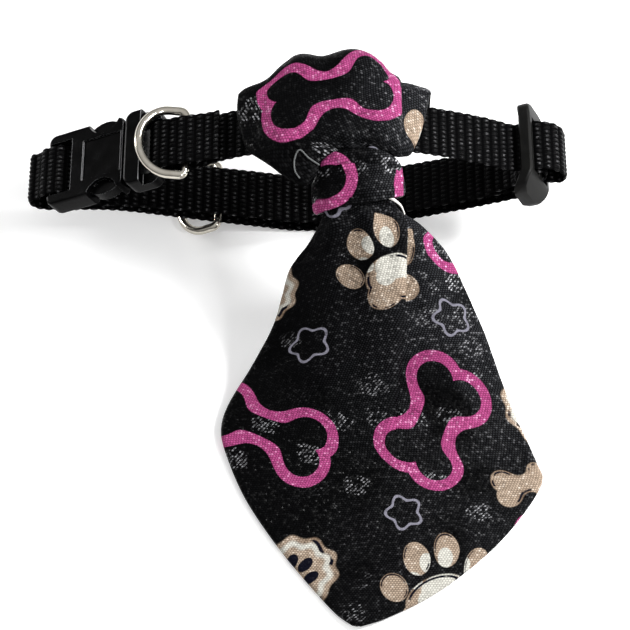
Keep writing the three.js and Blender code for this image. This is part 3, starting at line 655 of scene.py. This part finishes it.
def moulded(name, node, plastic):
    """A plastic piece with the edges of its solid rounded as a mould rounds them."""
    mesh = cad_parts[node].data.copy()
    mesh.materials.clear()
    work = bmesh.new()
    work.from_mesh(mesh)
    bmesh.ops.remove_doubles(work, verts=work.verts, dist=SAME_PLACE)
    flat = math.radians(MOULD.flat)
    bmesh.ops.dissolve_limit(work, angle_limit=flat, verts=work.verts, edges=work.edges)
    work.to_mesh(mesh)
    work.free()
    shade_smooth(mesh)
    piece = new_object(name, mesh)
    bevel = piece.modifiers.new("mould_edges", "BEVEL")
    bevel.width = MOULD.edge * METRES
    bevel.segments = MOULD.segments
    bevel.limit_method = "ANGLE"
    bevel.angle_limit = math.radians(MOULD.sharp)
    bevel.harden_normals = True
    piece.modifiers.new("even_faces", "WEIGHTED_NORMAL").keep_sharp = False
    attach(piece, ROOT)
    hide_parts(node)
    mesh.materials.append(plastic)


# Shaders

def feed(tree, slot, value):
    """Sets a socket to a number, or links it to a field."""
    if isinstance(value, Field):
        tree.links.new(value.socket, slot)
    else:
        slot.default_value = value


class Field:
    """A value that varies over a surface: a shader socket with arithmetic."""

    def __init__(self, tree, socket):
        self.tree = tree
        self.socket = socket

    def math(self, operation, *others):
        node = self.tree.nodes.new("ShaderNodeMath")
        node.operation = operation
        for slot, value in zip(node.inputs, (self, *others)):
            feed(self.tree, slot, value)
        return Field(self.tree, node.outputs[0])

    __add__ = partialmethod(math, "ADD")
    __sub__ = partialmethod(math, "SUBTRACT")
    __mul__ = partialmethod(math, "MULTIPLY")
    __truediv__ = partialmethod(math, "DIVIDE")
    __neg__ = partialmethod(math, "MULTIPLY", -1.0)
    abs = partialmethod(math, "ABSOLUTE")
    floor = partialmethod(math, "FLOOR")
    fract = partialmethod(math, "FRACT")
    root = partialmethod(math, "SQRT")
    sine = partialmethod(math, "SINE")
    cosine = partialmethod(math, "COSINE")
    least = partialmethod(math, "MINIMUM")
    most = partialmethod(math, "MAXIMUM")

    def ramp(self, low, high):
        """Rises smoothly from 0 at low to 1 at high. low may be the higher of the two."""
        node = self.tree.nodes.new("ShaderNodeMapRange")
        node.interpolation_type = "SMOOTHSTEP"
        self.tree.links.new(self.socket, node.inputs["Value"])
        node.inputs["From Min"].default_value = min(low, high)
        node.inputs["From Max"].default_value = max(low, high)
        node.inputs["To Min"].default_value = float(low > high)
        node.inputs["To Max"].default_value = float(low < high)
        return Field(self.tree, node.outputs["Result"])


def mixed(mask, low, high):
    """Goes from low to high, numbers or fields, as the mask goes from 0 to 1."""
    if isinstance(low, Field):
        return low + (-low + high) * mask
    return mask * (high - low) + low


def nearest(edges):
    """The least of several fields."""
    return reduce(Field.least, edges)


def inside(edge, soft):
    """1 inside an edge and 0 outside it."""
    return edge.ramp(soft, -soft)


def stroke(edge, shape):
    """1 on a line along an edge, as wide as the shape's stroke, and 0 off it."""
    half, soft = shape.stroke / 2, shape.soft
    return edge.ramp(half + soft, half - soft)


class Finish:
    """A new material with its shader, and the places on the surface that it can read."""

    def __init__(self, name, **settings):
        self.material = bpy.data.materials.new(name)
        self.material.use_nodes = True
        self.tree = self.material.node_tree
        self.shader = self.tree.nodes["Principled BSDF"]
        for socket, value in settings.items():
            self.shader.inputs[socket.replace("_", " ")].default_value = value

    def node(self, kind):
        return self.tree.nodes.new(kind)

    def link(self, source, slot):
        self.tree.links.new(source, slot)

    def place(self, name=None):
        """Three fields: a named attribute of the mesh, or else the place in its space in millimetres."""
        if name:
            source = self.node("ShaderNodeAttribute")
            source.attribute_name = name
            vector, scale = source.outputs["Vector"], 1.0
        else:
            source = self.node("ShaderNodeTexCoord")
            vector, scale = source.outputs["Object"], 1 / METRES
        split = self.node("ShaderNodeSeparateXYZ")
        self.link(vector, split.inputs[0])
        return [Field(self.tree, output) * scale for output in split.outputs]

    def joined(self, *fields):
        node = self.node("ShaderNodeCombineXYZ")
        for slot, value in zip(node.inputs, fields):
            feed(self.tree, slot, value)
        return node.outputs[0]

    def noise(self, vector, scale, detail):
        node = self.node("ShaderNodeTexNoise")
        self.link(vector, node.inputs["Vector"])
        node.inputs["Scale"].default_value = scale
        node.inputs["Detail"].default_value = detail
        return Field(self.tree, node.outputs["Fac"])

    def dice(self, *fields):
        """A random value that stays the same over each whole-numbered cell."""
        node = self.node("ShaderNodeTexWhiteNoise")
        node.noise_dimensions = "2D"
        self.link(self.joined(*fields), node.inputs["Vector"])
        return Field(self.tree, node.outputs["Value"])

    def blend(self, mask, low, high):
        """A colour between two, each a colour or a socket."""
        node = self.node("ShaderNodeMix")
        node.data_type = "RGBA"
        self.link(mask.socket, node.inputs["Factor"])
        for slot, value in ((node.inputs[6], low), (node.inputs[7], high)):
            if isinstance(value, tuple):
                slot.default_value = (*value, 1.0)
            else:
                self.link(value, slot)
        return node.outputs[2]

    def set(self, socket, value):
        self.link(value.socket if isinstance(value, Field) else value, self.shader.inputs[socket])

    def painted_edge_highlights(self):
        """1 along the edges that run across the strap, where highlights are painted, and 0 elsewhere."""
        rounded = self.node("ShaderNodeBevel")
        rounded.inputs["Radius"].default_value = EDGE_HIGHLIGHT.reach * METRES
        flat = self.node("ShaderNodeNewGeometry")
        level = self.node("ShaderNodeVectorMath")
        level.operation = "DOT_PRODUCT"
        self.link(rounded.outputs["Normal"], level.inputs[0])
        self.link(flat.outputs["Normal"], level.inputs[1])
        split = self.node("ShaderNodeSeparateXYZ")
        self.link(rounded.outputs["Normal"], split.inputs[0])
        sideways = Field(self.tree, split.outputs["Y"]).abs()
        edge = Field(self.tree, level.outputs["Value"])
        return edge.ramp(*EDGE_HIGHLIGHT.edge) * sideways.ramp(*EDGE_HIGHLIGHT.sideways)

    def relief(self, height, depth):
        """Bump of a height between 0 and 1, as deep as depth millimetres."""
        node = self.node("ShaderNodeBump")
        node.inputs["Strength"].default_value = 1.0
        node.inputs["Distance"].default_value = depth * METRES
        self.link(height.socket, node.inputs["Height"])
        self.link(node.outputs["Normal"], self.shader.inputs["Normal"])


# The print, in millimetres on the flat cloth: one repeat of it.
# Each second column of repeats is half a repeat lower.
REPEAT = Values(wide=76.0, long=88.0)
BONE = Values(spread=0.68, melt=1.2)
BIG_BONES = [((-14.0, -21.0), 32.0), ((15.0, 22.0), -50.0)]
BIG_BONE = Values(half_length=11.6, half_width=4.8, knob=6.2, stroke=2.9, soft=0.12)
TREAT = Values(at=(-4.0, 4.0), angle=-14.0, half_length=5.6, half_width=2.6, knob=3.3)
PAW = Values(at=(21.0, -23.0), angle=-14.0, size=13.0, pale=1.7, pale_x=0.1, pale_y=-0.16)
# A paw print in a square of 2 by 2: middle, half width, half length and turn of the pad's and toes' ovals.
PAW_OVALS = [
    ((0.0, -0.3), 0.62, 0.46, 0.0), ((-0.38, -0.54), 0.38, 0.3, 25.0), ((0.38, -0.54), 0.38, 0.3, -25.0),
    ((-0.8, 0.14), 0.24, 0.34, 24.0), ((0.8, 0.14), 0.24, 0.34, -24.0),
    ((-0.3, 0.62), 0.25, 0.37, 8.0), ((0.3, 0.62), 0.25, 0.37, -8.0),
]
BISCUIT = Values(
    at=(-18.0, 25.0), angle=20.0, radius=11.6, paw=6.4, scallops=11.0, scallop=0.045,
    ring_in=0.2, ring_half=0.07,
)
FLOWERS = [((-30.0, 3.0), 4.8), ((29.0, -3.0), 4.2), ((3.0, -38.0), 4.4)]
FLOWER = Values(stroke=0.75, soft=0.1, lobes=5.0, depth=0.16)
FLECK = Values(
    wide=10.5, long=9.0, oval=((0.0, 0.0), 0.36, 0.28, 24.0), soft=0.1, share=0.46, fade=0.3,
    hatch=1.25, lean=1.2, uneven=1.6,
)
FLOAT = Values(
    long=0.76, wide=0.56, step=0.4, lean_x=0.5, lean_y=71.5, depth=0.055, crown=0.6,
    slant=(6.0, 8.0), roll=2.0,
)
# The glint colours are painted glints, the weave colour is painted sheen on the threads' crowns, and the
# shade colours are painted shade between threads.
COLOURS = Values(
    ground=(0.0003, 0.0003, 0.0004), weave=(0.032, 0.033, 0.037), glint=(0.52, 0.52, 0.545),
    pink=(0.39, 0.067, 0.205), pink_shade=(0.13, 0.015, 0.060), pink_glint=(0.80, 0.40, 0.62),
    tan=(0.42, 0.325, 0.245), tan_shade=(0.10, 0.074, 0.054), tan_glint=(0.70, 0.62, 0.53),
    brown=(0.13, 0.085, 0.055), cream=(0.60, 0.59, 0.53), cream_shade=(0.26, 0.25, 0.225),
    ink=(0.003, 0.003, 0.007), lavender=(0.17, 0.165, 0.20),
)
# Masks of the satin: a ramp from where it starts to where it is full, and a noise's size and detail.
SATIN = Values(
    specular=0.026, roughness=(0.48, 0.2), glossy=(0.5, 1.0), tan_soft=0.03, pale_soft=0.05,
    worn=(0.16, 3.0), ragged=(0.3, 2.0), patches=(0.05, 2.0), patch=(0.3, 0.55),
    brown_in=(-0.34, -0.04), brown_worn=(0.42, 0.62), brown=0.8, line_in=0.1, line=(0.06, 0.03),
    line_worn=(0.5, 0.56), rim_out=0.07, rim=(0.07, 0.04), clear=(0.4, 0.8), hatch=(0.34, 0.2),
    dash=(0.3, 0.8), sparkle=(0.78, 0.98),
)
# How bright the threads are painted, some of them in painted shade and in painted light.
LIGHT = Values(weave=(0.04, 1.0), dash=(0.45, 1.0), sparkle=0.24, colour=(0.4, 0.9), crown=0.85, chance=0.15)

# Other finishes. The nylon's noises have a rate along and across the strap, then size and detail.
# The nylon's bead highlights are painted in its base colour, and the gaps between beads take painted shade.
NYLON = Values(
    specular=0.035, dark=(0.0002, 0.0002, 0.0003), yarn=(0.0018, 0.0018, 0.002),
    shine=(0.15, 0.15, 0.155), filaments=(0.6, 4.0, 2.2, 3.0), strands=(1.6, 5.0, 1.0, 2.0),
    gap_rib=(0.6, 0.3), gap_bead=(0.45, 0.15), shine_rib=(0.82, 1.0), shine_bead=(0.62, 0.95),
    shine_strand=(0.42, 0.66), roughness=(0.24, 0.42), gap_roughness=0.9, depth=0.14,
)
# Each plastic's rubbed colour is a painted highlight along its edges that run across the strap.
PLASTICS = {
    "black_plastic": {
        "dark": (0.0005, 0.0005, 0.0006), "light": (0.0014, 0.0014, 0.0016), "painted_edge_highlight": (0.34, 0.34, 0.35),
        "roughness": 0.24, "gloss": 0.04,
    },
    "grey_plastic": {
        "dark": (0.004, 0.004, 0.0038), "light": (0.0064, 0.0064, 0.006), "painted_edge_highlight": (0.04, 0.04, 0.038),
        "roughness": 0.44, "gloss": 0.06,
    },
}
WEAR = Values(grain=(3.2, 3.0), wear=(0.25, 4.0), worn=(0.4, 0.7), less=0.07, more=0.09, depth=0.02)
# Painted edge highlights: how far the rounded edge reaches, and ramps for how sharp the edge is and how
# square to the strap it runs.
EDGE_HIGHLIGHT = Values(reach=0.35, edge=(0.99, 0.9), sideways=(0.3, 0.1))
NICKEL = Values(
    cloud=(0.5, 3.0), marks=(6.0, 2.0), dark=(0.42, 0.385, 0.32), light=(0.62, 0.59, 0.53),
    roughness=(0.1, 0.2), depth=0.006,
)


# Motifs

def turned(x, y, at, angle, size=1.0):
    """A place in a motif's own frame: its middle, its turn in degrees and its size."""
    c, d = math.cos(math.radians(angle)) / size, math.sin(math.radians(angle)) / size
    x, y = x - at[0], y - at[1]
    return x * c + y * d, y * c - x * d


def circle(x, y, at, radius):
    """Distance to a circle."""
    x, y = x - at[0], y - at[1]
    return (x * x + y * y).root() - radius


def oval(x, y, at, across_half, along_half, angle):
    """How far outside an oval a place is, as a share of the oval's size."""
    x, y = turned(x, y, at, angle)
    return ((x / across_half) * (x / across_half) + (y / along_half) * (y / along_half)).root() - 1.0


def lobes(x, y, count, depth):
    """Waves round a middle."""
    return (y.math("ARCTAN2", x) * count).cosine() * depth


def bone(x, y, shape):
    """About the distance to a bone along x: a shaft with two round knobs at each end."""
    x, y = x.abs(), y.abs()
    shaft = (x - shape.half_length).most(y - shape.half_width)
    knob = circle(x, y, (shape.half_length, BONE.spread * shape.knob), shape.knob)
    return shaft.math("SMOOTH_MIN", knob, BONE.melt * shape.knob)


def paw(x, y):
    """How far outside a paw print a place is: a broad pad and four toes."""
    return nearest(oval(x, y, *shape) for shape in PAW_OVALS)


def flower(x, y, radius):
    """About the distance to the outline of a five-lobed flower."""
    return ((x * x + y * y).root() - (lobes(x, y, FLOWER.lobes, FLOWER.depth * radius) + radius)).abs()


def print_place(u, v):
    """A place on the cloth, as a place in one repeat of the print."""
    wide, long = REPEAT.wide, REPEAT.long
    column = (u / wide).floor()
    x = (u / wide).fract() * wide - wide / 2
    y = (v / long + column * 0.5).fract() * long - long / 2
    return x, y


def arch(place):
    """1 in the middle of a thread, from -0.5 to 0.5, and 0 at its edges."""
    return place * place * -4.0 + 1.0


def satin_threads(finish, u, v):
    """Threads of the satin: each one's chance, its lean, and the place across it and along it."""
    row = (v / FLOAT.wide).floor()
    run = u / FLOAT.long + row * FLOAT.step
    chance = finish.dice(run.floor(), row)
    lean = finish.dice(run.floor() + FLOAT.lean_x, row + FLOAT.lean_y) * 2.0 - 1.0
    over = (v / FLOAT.wide).fract() - 0.5
    along = run.fract() - 0.5
    return chance, lean * lean.abs(), over, along


def flecks(finish, u, v):
    """Mask of the flecks: ragged ovals in some cells of a grid."""
    x, y = u / FLECK.wide, v / FLECK.long
    edge = oval(x.fract() - 0.5, y.fract() - 0.5, *FLECK.oval)
    ragged = (finish.noise(finish.joined(u, v), *SATIN.ragged) - 0.5) * FLECK.uneven
    chance = finish.dice(x.floor(), y.floor())
    return inside(edge + ragged, FLECK.soft) * chance.ramp(FLECK.share, FLECK.share - FLECK.fade)


# Materials

def satin_finish():
    """Black satin jacquard with a woven design of bones, paw prints and small flowers."""
    finish = Finish("printed_satin", Specular_IOR_Level=SATIN.specular)
    u, v, painted_light = finish.place("cloth")
    cloth = finish.joined(u, v)
    chance, lean, over, along = satin_threads(finish, u, v)
    crown = arch(over) * arch(along)

    x, y = print_place(u, v)
    pink = stroke(nearest(bone(*turned(x, y, *place), BIG_BONE).abs() for place in BIG_BONES), BIG_BONE)
    petals = nearest(flower(x - at[0], y - at[1], radius) for at, radius in FLOWERS)
    lavender = stroke(petals, FLOWER)

    paw_x, paw_y = turned(x, y, PAW.at, PAW.angle, PAW.size)
    disc_x, disc_y = turned(x, y, BISCUIT.at, BISCUIT.angle, BISCUIT.radius)
    scallops = lobes(disc_x, disc_y, BISCUIT.scallops, BISCUIT.scallop)
    disc_edge = (disc_x * disc_x + disc_y * disc_y).root() - scallops - 1.0
    treat_edge = bone(*turned(x, y, TREAT.at, TREAT.angle), TREAT) / TREAT.half_length
    tan_edge = nearest([paw(paw_x, paw_y), disc_edge, treat_edge])
    tan = inside(tan_edge, SATIN.tan_soft)
    worn = finish.noise(cloth, *SATIN.worn)
    brown = tan_edge.ramp(*SATIN.brown_in) * worn.ramp(*SATIN.brown_worn)
    pale_paw = paw(paw_x * PAW.pale + PAW.pale_x, paw_y * PAW.pale + PAW.pale_y)
    pale_ring = (disc_edge + BISCUIT.ring_in).abs() - BISCUIT.ring_half
    cream = inside(pale_paw.least(pale_ring), SATIN.pale_soft)

    stamp = BISCUIT.radius / BISCUIT.paw
    stamped = inside(paw(disc_x * stamp, disc_y * stamp), SATIN.pale_soft)
    line = (tan_edge + SATIN.line_in).abs().ramp(*SATIN.line) * worn.ramp(*SATIN.line_worn)
    rim = (tan_edge - SATIN.rim_out).abs().ramp(*SATIN.rim)
    ink = stamped.most(line * tan).most(rim * pink)

    fleck = flecks(finish, u, v) * tan_edge.ramp(*SATIN.clear)
    hatch = ((u + v * FLECK.lean) / FLECK.hatch).fract() - 0.5
    # Painted glints: bright dashes on the flecks and on chance threads, with brighter painted glints on the
    # pink and tan threads.
    dash = hatch.abs().ramp(*SATIN.hatch) * chance.ramp(*SATIN.dash) * crown
    sparkle = chance.ramp(*SATIN.sparkle) * crown
    # Patches of painted sheen, only where light is painted on the cloth.
    patch = finish.noise(cloth, *SATIN.patches).ramp(*SATIN.patch) * painted_light
    glint = mixed(fleck, sparkle * patch * LIGHT.sparkle, dash * mixed(patch, *LIGHT.dash))
    lit = crown * LIGHT.crown + chance * LIGHT.chance
    painted_colour_glint = sparkle * mixed(patch, *LIGHT.colour)

    # Painted sheen on the crowns of the black threads.
    weave = crown * crown * mixed(patch, *LIGHT.weave)
    ground = finish.blend(weave, COLOURS.ground, COLOURS.weave)
    ground = finish.blend(glint, ground, COLOURS.glint)
    pink_thread = finish.blend(lit, COLOURS.pink_shade, COLOURS.pink)
    pink_thread = finish.blend(painted_colour_glint, pink_thread, COLOURS.pink_glint)
    tan_thread = finish.blend(lit, COLOURS.tan_shade, COLOURS.tan)
    tan_thread = finish.blend(brown * SATIN.brown, tan_thread, COLOURS.brown)
    tan_thread = finish.blend(painted_colour_glint, tan_thread, COLOURS.tan_glint)
    cream_thread = finish.blend(lit, COLOURS.cream_shade, COLOURS.cream)
    colour = finish.blend(lavender, ground, COLOURS.lavender)
    colour = finish.blend(pink, colour, pink_thread)
    colour = finish.blend(tan, colour, finish.blend(cream, tan_thread, cream_thread))
    finish.set("Base Color", finish.blend(ink, colour, COLOURS.ink))
    finish.set("Roughness", mixed(chance.ramp(*SATIN.glossy), *SATIN.roughness))
    slant = lean * along * mixed(fleck, *FLOAT.slant)
    finish.relief(crown * FLOAT.crown + slant + lean * over * FLOAT.roll, FLOAT.depth)
    return finish.material


def yarn_noise(finish, along, over, setting):
    """Noise drawn out along the strap."""
    along_rate, over_rate, scale, detail = setting
    return finish.noise(finish.joined(along * along_rate, over * over_rate), scale, detail)


def nylon_finish():
    """Black nylon yarn, its filaments running along the strap, with painted shade in the gaps between the
    beads, painted highlights on the beads and painted shade on the back strand.
    """
    finish = Finish("black_nylon", Specular_IOR_Level=NYLON.specular)
    along, over, painted_light = finish.place("cloth")
    rib = along / WEBBING.rib
    column = (rib.fract() * math.pi).sine()
    row = over * (WEBBING.beads / WEBBING.width) + (rib.floor() * 0.5).fract()
    bead = (row * math.pi).cosine().abs()
    # Painted shade in the gaps between the columns of beads and between the beads themselves.
    gap_shade = column.ramp(*NYLON.gap_rib).most(bead.ramp(*NYLON.gap_bead))
    filaments = yarn_noise(finish, along, over, NYLON.filaments)
    yarn = finish.blend(filaments * painted_light, NYLON.dark, NYLON.yarn)
    # Painted highlights on the crowns of some beads, broken up along the strands and less where shade is
    # painted.
    crest = column.ramp(*NYLON.shine_rib) * bead.ramp(*NYLON.shine_bead)
    shine = crest * finish.dice(rib.floor(), (row + 0.5).floor())
    strands = yarn_noise(finish, along, over, NYLON.strands).ramp(*NYLON.shine_strand)
    yarn = finish.blend(shine * strands * painted_light, yarn, NYLON.shine)
    # The gaps take the dark yarn colour as painted shade.
    finish.set("Base Color", finish.blend(gap_shade, yarn, NYLON.dark))
    finish.set("Roughness", mixed(gap_shade, mixed(filaments, *NYLON.roughness), NYLON.gap_roughness))
    finish.relief(filaments, NYLON.depth)
    return finish.material


def plastic_finish(name, dark, light, painted_edge_highlight, roughness, gloss):
    """Moulded plastic with a fine grain, a little wear, and painted highlights along the edges that run
    across the strap.
    """
    finish = Finish(name, Specular_IOR_Level=gloss)
    place = finish.joined(*finish.place())
    grain = finish.noise(place, *WEAR.grain)
    wear = finish.noise(place, *WEAR.wear)
    colour = finish.blend(wear.ramp(*WEAR.worn), dark, light)
    finish.set("Base Color", finish.blend(finish.painted_edge_highlights(), colour, painted_edge_highlight))
    finish.set("Roughness", mixed(wear, roughness - WEAR.less, roughness + WEAR.more))
    finish.relief(grain, WEAR.depth)
    return finish.material


def thread_finish(name, colour):
    """Twisted sewing thread."""
    finish = Finish(name, Roughness=THREAD.roughness)
    ply = finish.noise(finish.joined(*finish.place()), *THREAD.ply)
    finish.set("Base Color", finish.blend(ply, tuple(THREAD.shade * part for part in colour), colour))
    finish.relief(ply, THREAD.depth)
    return finish.material


def nickel_finish():
    """Bright nickel plate with fine drawing marks."""
    finish = Finish("nickel_plate", Metallic=1.0)
    place = finish.joined(*finish.place())
    cloud = finish.noise(place, *NICKEL.cloud)
    marks = finish.noise(place, *NICKEL.marks)
    finish.set("Base Color", finish.blend(cloud, NICKEL.dark, NICKEL.light))
    finish.set("Roughness", mixed(cloud, *NICKEL.roughness))
    finish.relief(marks, NICKEL.depth)
    return finish.material


# Stage

def camera():
    data = bpy.data.cameras.new("photo_camera")
    data.lens = VIEW.lens
    data.sensor_width = VIEW.sensor
    data.clip_end = VIEW.clip_end
    lens = new_object("photo_camera", data)
    look_at = Vector(((np.array(VIEW.look_at) + PLACE) * METRES).tolist())
    rise = math.radians(VIEW.elevation)
    back = Vector((0.0, -math.cos(rise), math.sin(rise)))
    lens.location = look_at + back * (VIEW.distance * METRES)
    lens.rotation_euler = back.to_track_quat("Z", "Y").to_euler()
    bpy.context.scene.camera = lens


def lamp(name, place, aim, size, watts):
    data = bpy.data.lights.new(name, "AREA")
    data.size = size
    data.energy = watts
    light = new_object(name, data)
    light.location = place
    light.rotation_euler = (Vector(place) - Vector(aim)).to_track_quat("Z", "Y").to_euler()


def soft_sky():
    """White light from all round, brightest from straight above."""
    world = bpy.data.worlds.new("soft_room")
    bpy.context.scene.world = world
    world.use_nodes = True
    tree = world.node_tree
    sky = tree.nodes["Background"]
    sky.inputs["Color"].default_value = (1.0, 1.0, 1.0, 1.0)
    split = tree.nodes.new("ShaderNodeSeparateXYZ")
    heading = tree.nodes.new("ShaderNodeTexCoord")
    tree.links.new(heading.outputs["Generated"], split.inputs[0])
    height = Field(tree, split.outputs["Z"]).most(0.0)
    tree.links.new((height * SKY.rise + SKY.level).socket, sky.inputs["Strength"])


def pale_floor():
    mesh = bpy.data.meshes.new("floor")
    reach = FLOOR.reach
    corners = [(-reach, -reach, 0), (reach, -reach, 0), (reach, reach, 0), (-reach, reach, 0)]
    mesh.from_pydata(corners, [], [(0, 1, 2, 3)])
    floor = new_object("floor", mesh)
    finish = Finish("pale_floor", Roughness=FLOOR.roughness, Emission_Strength=FLOOR.glow)
    tone = finish.noise(finish.joined(*finish.place()), *FLOOR.tone)
    finish.set("Base Color", finish.blend(tone, FLOOR.dark, FLOOR.light))
    mesh.materials.append(finish.material)


def studio():
    bpy.context.scene.view_settings.view_transform = "Standard"
    soft_sky()
    for name, setting in LAMPS.items():
        lamp(name, *setting)
    pale_floor()


def main():
    camera()
    studio()
    tie(satin_finish())
    for name, shape in THREADS.items():
        thread(name, **shape)
    collar_webbing(nylon_finish())
    nickel = nickel_finish()
    d_ring("d_ring_wire", "d_ring", FRONT_RING, "front_ring", nickel)
    d_ring("d_ring_back_wire", "d_ring_back", BACK_RING, "back_ring", nickel)
    black = plastic_finish("black_plastic", **PLASTICS["black_plastic"])
    grey = plastic_finish("grey_plastic", **PLASTICS["grey_plastic"])
    moulded("buckle_socket_moulded", "buckle_socket", black)
    moulded("buckle_plug_moulded", "buckle_plug", black)
    moulded("slide_adjuster_moulded", "slide_adjuster", grey)


main()
